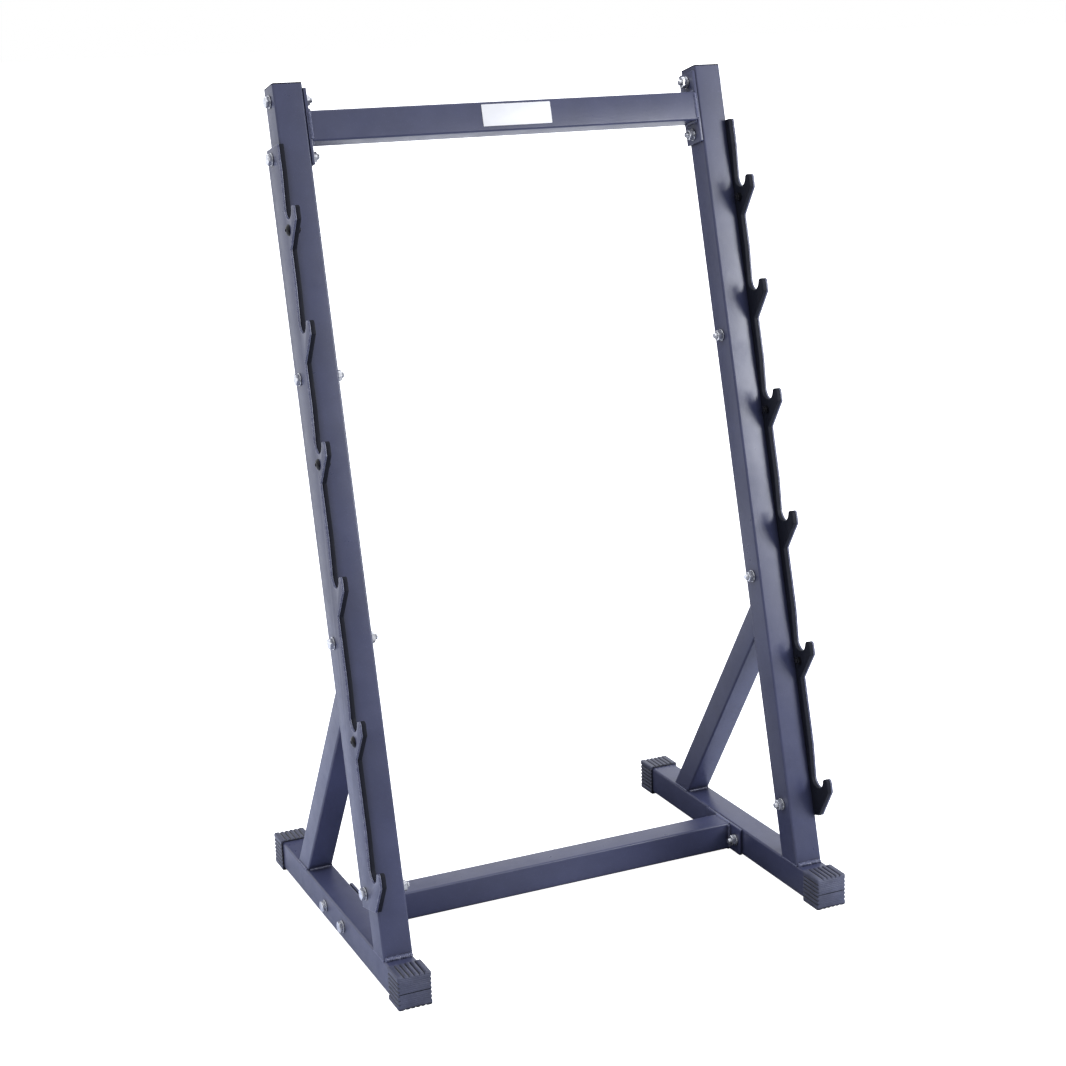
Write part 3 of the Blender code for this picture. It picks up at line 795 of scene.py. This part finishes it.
def make_label():
    """Blank label on the front of the upper crossbar."""
    width, height, depth = LABEL_SIZE
    x, z = LABEL_OFFSET[0], TOP_BAR + LABEL_OFFSET[1]
    label = block((x - width / 2, -GAP - depth, z - height / 2),
                  (x + width / 2, -LABEL_OFF_TUBE, z + height / 2))
    round_corners(label, 1, 0.0001, LABEL_CORNER, 5)
    round_edges(label, LABEL_ROUND, 2, 60.0)
    settle(label, LEANING)
    dress(label, "blank_front_label", STICKER, "label_white", "blank_label")


# Fasteners, modelled once for the +X side and copied.
def hexagon(flats, low, high, both_ends):
    """Hexagonal block along X with its corners turned off at its high end, or at both ends."""
    bpy.ops.object.select_all(action="DESELECT")
    bpy.ops.mesh.primitive_cylinder_add(vertices=6, radius=flats / math.sqrt(3), depth=high - low,
                                        location=((low + high) / 2, 0, 0),
                                        rotation=(0, math.pi / 2, 0))
    piece = bpy.context.object
    settle(piece)
    reach, top = flats * 0.75, flats / 2 * HEX_CHAMFER_SHARE
    fall = (reach - top) * math.tan(HEX_CHAMFER_SLOPE)
    below = low - 0.001
    profile = [(below, 0.0), (below, reach)]
    if both_ends:
        profile = [(low, 0.0), (low, top), (low + fall, reach)]
    profile += [(high - fall, reach), (high, top), (high, 0.0)]
    carve(piece, turned(profile, HEX_CHAMFER_STEPS), "INTERSECT")
    return piece


def threaded_rod(radius, start, end, thread_from):
    """Shank along -X with turned grooves for a thread near its point."""
    profile = [(start, 0.0), (start, radius), (thread_from, radius)]
    x = thread_from
    while x - THREAD_PITCH > end + THREAD_LAND:
        profile.append((x - THREAD_PITCH * 0.5, radius * THREAD_ROOT_SHARE))
        profile.append((x - THREAD_PITCH, radius))
        x -= THREAD_PITCH
    return turned(profile + [(end, radius * THREAD_POINT_SHARE), (end, 0.0)], 28)


def washer(start, end):
    """Flat washer with broken edges."""
    bore = BOLT_RADIUS + GAP
    rim = WASHER_RADIUS - EDGE_BREAK
    return turned([(start, bore), (start, rim), (start + EDGE_BREAK, WASHER_RADIUS),
                   (end - EDGE_BREAK, WASHER_RADIUS), (end, rim), (end, bore)])


def bolt(grip_end):
    """Hexagon bolt from a washer at zero to a point at grip_end, which is below zero."""
    head = hexagon(BOLT_FLATS, WASHER_THICKNESS, WASHER_THICKNESS + BOLT_HEAD, False)
    round_edges(head, EDGE_BREAK, 2, 25.0)
    shank = threaded_rod(BOLT_RADIUS, WASHER_THICKNESS, grip_end, grip_end + THREAD_LENGTH)
    return join([head, shank, washer(0.0, WASHER_THICKNESS)])


def nut():
    """Hexagon nut and washer that seat at zero and stand out along -X."""
    start, end = -WASHER_THICKNESS - NUT_HEIGHT, -WASHER_THICKNESS
    piece = hexagon(BOLT_FLATS, start, end, True)
    bore = BOLT_RADIUS * NUT_BORE_SHARE
    mouth = bore + NUT_LEAD
    before, past = start - 0.001, end + 0.001
    carve(piece, turned([(before, 0.0), (before, mouth), (start, mouth), (start + NUT_LEAD, bore),
                         (end - NUT_LEAD, bore), (end, mouth), (past, mouth), (past, 0.0)], 36))
    return join([piece, washer(-WASHER_THICKNESS, 0.0)])


def dome_screw(grip):
    """Dome headed screw at zero with a nut on its point, grip below its head."""
    profile = [(SCREW_HEAD, 0.0)]
    for step in range(1, DOME_STEPS + 1):
        angle = math.radians(90.0 - step * DOME_STEP_TURN)
        profile.append((SCREW_HEAD * math.sin(angle), SCREW_HEAD_RADIUS * math.cos(angle)))
    end = -grip - SCREW_NUT - SCREW_PAST_NUT
    profile += [(EDGE_BREAK, SCREW_HEAD_RADIUS), (0.0, SCREW_HEAD_RADIUS - EDGE_BREAK),
                (0.0, SCREW_RADIUS), (end + SCREW_POINT, SCREW_RADIUS),
                (end, SCREW_RADIUS * SCREW_POINT_SHARE), (end, 0.0)]
    dome = turned(profile)
    carve(dome, hexagon(SCREW_SOCKET, SCREW_HEAD * SCREW_SOCKET_SHARE, SCREW_HEAD * 1.5, False))
    return join([dome, hexagon(SCREW_NUT_FLATS, -grip - SCREW_NUT, -grip, True)])


def put_fasteners():
    """Bolts, nuts and screws in their places, each copy turned by chance about its own axis."""
    turns = random.Random(11)

    def twist():
        return spun(turns.uniform(0, math.tau), "X")

    half_spacing = FLANGE_HOLE_SPACING / 2
    heights = [("plate_low", NOTCHES[0] - FOOT_BOLT_BELOW_NOTCH, PLATE_OUTER, INNER)]
    for name, index, rise in MID_BOLTS:
        heights.append((name, NOTCHES[index] + rise, PLATE_OUTER, INNER))
    heights.append(("top_lower", TOP_BAR - half_spacing, PLATE_OUTER, FLANGE_INNER))
    heights.append(("top_upper", TOP_BAR + half_spacing, OUTER, FLANGE_INNER))
    places = [(name, LEANING @ at(0, TUBE / 2, height), surface, inner)
              for name, height, surface, inner in heights]
    for name, step in (("base_front", -1), ("base_rear", 1)):
        place = at(0, LOW_BAR + step * FLANGE_HOLE_SPACING / 2, BASE_MID)
        places.append((name, place, OUTER, FLANGE_INNER))
    one_nut = nut()
    bolts = {}
    for name, place, surface, inner in places:
        end = inner - GAP - WASHER_THICKNESS - NUT_HEIGHT - THREAD_PAST_NUT
        length = round(end - surface - GAP, 6)
        if length not in bolts:
            bolts[length] = bolt(length)
        for label, side in SIDES:
            for pattern, seat, kind in ((bolts[length], surface + GAP, "bolt"),
                                        (one_nut, inner - GAP, "nut")):
                piece = copy_of(pattern)
                settle(piece, place @ at(side * seat, 0, 0) @ to_side(side) @ twist())
                dress(piece, f"{label}_{name}_hex_{kind}", ZINC, "zinc",
                      f"{label}_{name}_{kind}", angle=30.0)
    one_screw = dome_screw(PLATE_OUTER - LINER_INNER + 2 * GAP)
    for name, index in SCREWED_HOOKS:
        place = LEANING @ at(0, -SCREW_AHEAD, NOTCHES[index] - SCREW_BELOW_NOTCH)
        for label, side in SIDES:
            piece = copy_of(one_screw)
            settle(piece, place @ at(side * (PLATE_OUTER + GAP), 0, 0) @ to_side(side) @ twist())
            dress(piece, f"{label}_{name}_dome_screw", BLACKENED, "black_steel",
                  f"{label}_{name}_liner_screw", angle=30.0)
    discard([one_nut, one_screw] + list(bolts.values()))


# Weld beads.
def weld_bead(length, radius, grain):
    """Bead along X: overlapping drops melted together, with an uneven skin."""
    bpy.ops.object.select_all(action="DESELECT")
    bpy.ops.mesh.primitive_uv_sphere_add(segments=20, ring_count=12, radius=radius,
                                         location=(radius - length / 2, 0.0, 0.0),
                                         scale=(0.6, 1.0, 1.0))
    bead = bpy.context.object
    settle(bead)
    step = radius * 0.62
    drops = int((length - 2 * radius) / step) + 1
    apply_modifier(bead, "ARRAY", count=drops, use_relative_offset=False,
                   use_constant_offset=True, constant_offset_displace=(step, 0.0, 0.0))
    apply_modifier(bead, "REMESH", mode="VOXEL", voxel_size=0.00055)
    lumps = bpy.data.textures.new(f"lumps_{grain}", "CLOUDS")
    lumps.noise_scale = grain
    apply_modifier(bead, "DISPLACE", texture=lumps, texture_coords="LOCAL",
                   strength=radius * 0.5, mid_level=0.55)
    return bead


def put_welds():
    """Beads at the feet of uprights and braces, the braces' heads and the crossbars' ends."""
    long_bead = weld_bead(*LONG_BEAD)
    foot_bead = weld_bead(*FOOT_BEAD)
    brace_bead = weld_bead(*BRACE_BEAD)
    side_bead = weld_bead(*SIDE_BEAD)
    half_foot = BRACE_TUBE / 2 / math.cos(BRACE_TURN)
    foot = Vector((0.0, UPRIGHT_FRONT + BRACE_FOOT_BEHIND, BASE_TOP))
    upright_rear = UPRIGHT_FRONT + TUBE / math.cos(LEAN)
    upright_mid = (UPRIGHT_FRONT + upright_rear) / 2
    front_spot = (0, UPRIGHT_FRONT, BASE_TOP + FOOT_BEAD_RISE)
    beads = [("upright_front", foot_bead, front_spot, (0, 0, 0)),
             ("upright_rear", long_bead, (0, upright_rear, BASE_TOP), (90, 0, 0)),
             ("brace_front", brace_bead, foot - Vector((0, half_foot, 0)), (0, 0, 0)),
             ("brace_rear", brace_bead, foot + Vector((0, half_foot, 0)), (90, 0, 0))]
    for word, way in SIDES:
        beside = (way * (TUBE / 2 - SIDE_BEAD_INSET), upright_mid, BASE_TOP - SIDE_BEAD_DROP)
        beads.append((f"upright_{word}", side_bead, beside, (0, 0, 90)))
        beside = foot + Vector((way * BRACE_TUBE / 2, 0, 0))
        beads.append((f"brace_{word}", side_bead, beside, (0, 0, 90)))
    closing = BRACE_TURN + LEAN
    reach = BRACE_FOOT_BEHIND * math.cos(LEAN) - TUBE
    up_brace = Vector((0.0, -math.sin(BRACE_TURN), math.cos(BRACE_TURN)))
    over_brace = Vector((0.0, math.cos(BRACE_TURN), math.sin(BRACE_TURN)))
    for word, way in (("under", -1), ("over", 1)):
        offset = way * BRACE_TUBE / 2
        rise = reach / math.sin(closing) + offset / math.tan(closing)
        corner = foot + over_brace * offset + up_brace * rise
        beads.append((f"brace_{word}", brace_bead, corner, (45, 0, 0)))
    patterns = []
    for label, side in SIDES:
        for name, bead, spot, turn in beads:
            place = at(*(Vector(spot) + Vector((side * MID, 0, 0))))
            patterns.append((f"{label}_{name}", bead, place, turn))
    for label, side in SIDES:
        x = side * (FLANGE_INNER - BAR_BEAD_INSET)
        for bar, end, outer_words in (
                ("top", LEANING @ at(x, TUBE / 2, TOP_BAR), ("over", "under")),
                ("low", at(x, LOW_BAR, BASE_MID), ("ahead", "behind"))):
            for word, y, z, turn in (("over", 0, 1, (0, 0, 90)), ("under", 0, -1, (0, 0, 90)),
                                     ("ahead", -1, 0, (0, 90, 0)), ("behind", 1, 0, (0, 90, 0))):
                out = TUBE / 2 * (1.0 if word in outer_words else BAR_BEAD_CLOSE)
                patterns.append((f"{label}_{bar}_bar_{word}", long_bead,
                                 end @ at(0, y * out, z * out), turn))
    for name, bead, place, turn in patterns:
        piece = copy_of(bead)
        for axis, angle in zip("XYZ", turn):
            place = place @ spun(math.radians(angle), axis)
        settle(piece, place)
        dress(piece, f"{name}_weld", LIT_WELD_COAT, "frame_coat", angle=80.0)
    discard([long_bead, foot_bead, brace_bead, side_bead])


# Floor, card, light and camera.
def set_floor():
    """Floor that is white to the camera. What the rack mirrors of it has other tones.

    Between the side frames it is grey, with a painted shadow beside the rear halves of the base
    tubes.
    It is pale outside them and far away, and dark grey far ahead.
    """
    material, shader, add = new_finish("studio_floor")
    where = add("ShaderNodeNewGeometry").outputs["Position"]
    place = add("ShaderNodeSeparateXYZ", {"Vector": where})
    aside = reckon(add, "ABSOLUTE", place.outputs["X"])
    off_tube = reckon(add, "ABSOLUTE", reckon(add, "SUBTRACT", aside, MID))
    past_middle = reckon(add, "SUBTRACT", PAINTED_SHADOW_FROM, place.outputs["Y"])
    clear_of_painted_shadow = between(add, reckon(add, "MAXIMUM", off_tube, past_middle), 0.10, 0.32)
    outside = between(add, aside, MID, OUTER)
    distance = add("ShaderNodeVectorMath", {0: where}, operation="LENGTH").outputs["Value"]
    away = between(add, distance, 1.0, 2.4)
    far_ahead = between(add, place.outputs["Y"], -0.35, -1.3)
    # Dark tone beside the base tubes: a painted shadow, seen only in what the rack mirrors.
    shade = blend_colours(add, clear_of_painted_shadow, (0.07, 0.07, 0.08), (0.50, 0.51, 0.53))
    shade = blend_colours(add, outside, shade, (0.80, 0.84, 1.0))
    shade = blend_colours(add, away, shade, (0.97, 0.98, 1.0))
    shade = blend_colours(add, far_ahead, shade, (0.20, 0.21, 0.24))
    seen = add("ShaderNodeLightPath").outputs["Is Camera Ray"]
    feed(shader, "Base Color", blend_colours(add, seen, shade, (0.97, 0.97, 0.97)))
    feed(shader, "Emission Strength", seen)
    shader.inputs["Emission Color"].default_value = (1.0, 1.0, 1.0, 1.0)
    shader.inputs["Roughness"].default_value = 0.9
    shader.inputs["Specular IOR Level"].default_value = 0.0
    bpy.ops.object.select_all(action="DESELECT")
    bpy.ops.mesh.primitive_plane_add(size=FLOOR_SIZE)
    floor = bpy.context.object
    floor.name = "studio_floor"
    floor.data.materials.append(material)


def set_card():
    """Grey card behind the rack, clear to the camera. The right upright's inner side mirrors it."""
    material, shader, add = new_finish("grey_card")
    shader.inputs["Base Color"].default_value = (0.18, 0.18, 0.21, 1.0)
    shader.inputs["Roughness"].default_value = 1.0
    shader.inputs["Specular IOR Level"].default_value = 0.0
    clear = add("ShaderNodeBsdfTransparent").outputs[0]
    seen = add("ShaderNodeLightPath").outputs["Is Camera Ray"]
    choice = add("ShaderNodeMixShader", {0: seen, 1: shader.outputs[0], 2: clear})
    feed(material.node_tree.nodes["Material Output"], "Surface", choice.outputs[0])
    card = block(*CARD)
    card.name = "grey_card"
    card.data.materials.append(material)


def set_light():
    """White studio, brighter overhead, behind and left, with a soft panel ahead on the right."""
    world = bpy.data.worlds.new("studio")
    world.use_nodes = True
    tree = world.node_tree
    add = node_maker(tree)
    space = add("ShaderNodeTexCoord").outputs["Generated"]
    direction = add("ShaderNodeSeparateXYZ", {0: space})
    glows = [between(add, direction.outputs[axis], 0.0, toward, least, least + gain)
             for axis, toward, least, gain in (("X", -1.0, 0.42, 0.15), ("Y", 1.0, 0.0, 0.50),
                                               ("Z", 1.0, 0.0, 0.95))]
    sky = tree.nodes["Background"]
    feed(sky, "Strength", reckon(add, "ADD", reckon(add, "ADD", glows[0], glows[1]), glows[2]))
    sky.inputs["Color"].default_value = (1.0, 1.02, 1.08, 1.0)
    white = add("ShaderNodeBackground", Color=(1.0, 1.0, 1.0, 1.0))
    seen = add("ShaderNodeLightPath").outputs["Is Camera Ray"]
    choice = add("ShaderNodeMixShader", {0: seen, 1: sky.outputs[0], 2: white.outputs[0]})
    feed(tree.nodes["World Output"], "Surface", choice.outputs[0])
    bpy.context.scene.world = world
    light = bpy.data.lights.new("right_panel", "AREA")
    light.shape = "RECTANGLE"
    light.size = 1.7
    light.size_y = 1.25
    light.energy = 72.0
    light.color = (1.0, 1.02, 1.06)
    panel = bpy.data.objects.new("right_panel", light)
    spot, aim = Vector(PANEL_SPOT), Vector(PANEL_AIM)
    panel.location = spot
    panel.rotation_euler = (aim - spot).to_track_quat("-Z", "Y").to_euler()
    bpy.context.scene.collection.objects.link(panel)


def set_camera():
    """Camera where the photograph was taken from."""
    yaw, pitch, roll = 0.41401, -0.20351, -0.03677
    level = math.cos(pitch)
    ahead = Vector((math.sin(yaw) * level, math.cos(yaw) * level, math.sin(pitch)))
    level_right = Vector((math.cos(yaw), -math.sin(yaw), 0.0))
    level_up = level_right.cross(ahead)
    right = level_right * math.cos(roll) + level_up * math.sin(roll)
    up = -level_right * math.sin(roll) + level_up * math.cos(roll)
    camera = bpy.data.objects.new("camera", bpy.data.cameras.new("camera"))
    facing = Matrix((right, up, -ahead)).transposed().to_4x4()
    camera.matrix_world = at(*CAMERA_SPOT) @ facing
    camera.data.sensor_width = 36.0
    camera.data.lens = FOCAL_PIXELS / PICTURE_PIXELS * 36.0
    camera.data.shift_y = (CENTRE_PIXELS - PICTURE_PIXELS / 2) / PICTURE_PIXELS
    camera.data.clip_end = FLOOR_SIZE
    bpy.context.scene.collection.objects.link(camera)
    bpy.context.scene.camera = camera


make_tubes()
make_hooks()
make_flanges()
make_foot_caps()
make_plugs()
make_label()
put_fasteners()
put_welds()
bpy.context.scene.view_settings.view_transform = "Standard"
set_floor()
set_card()
set_light()
set_camera()
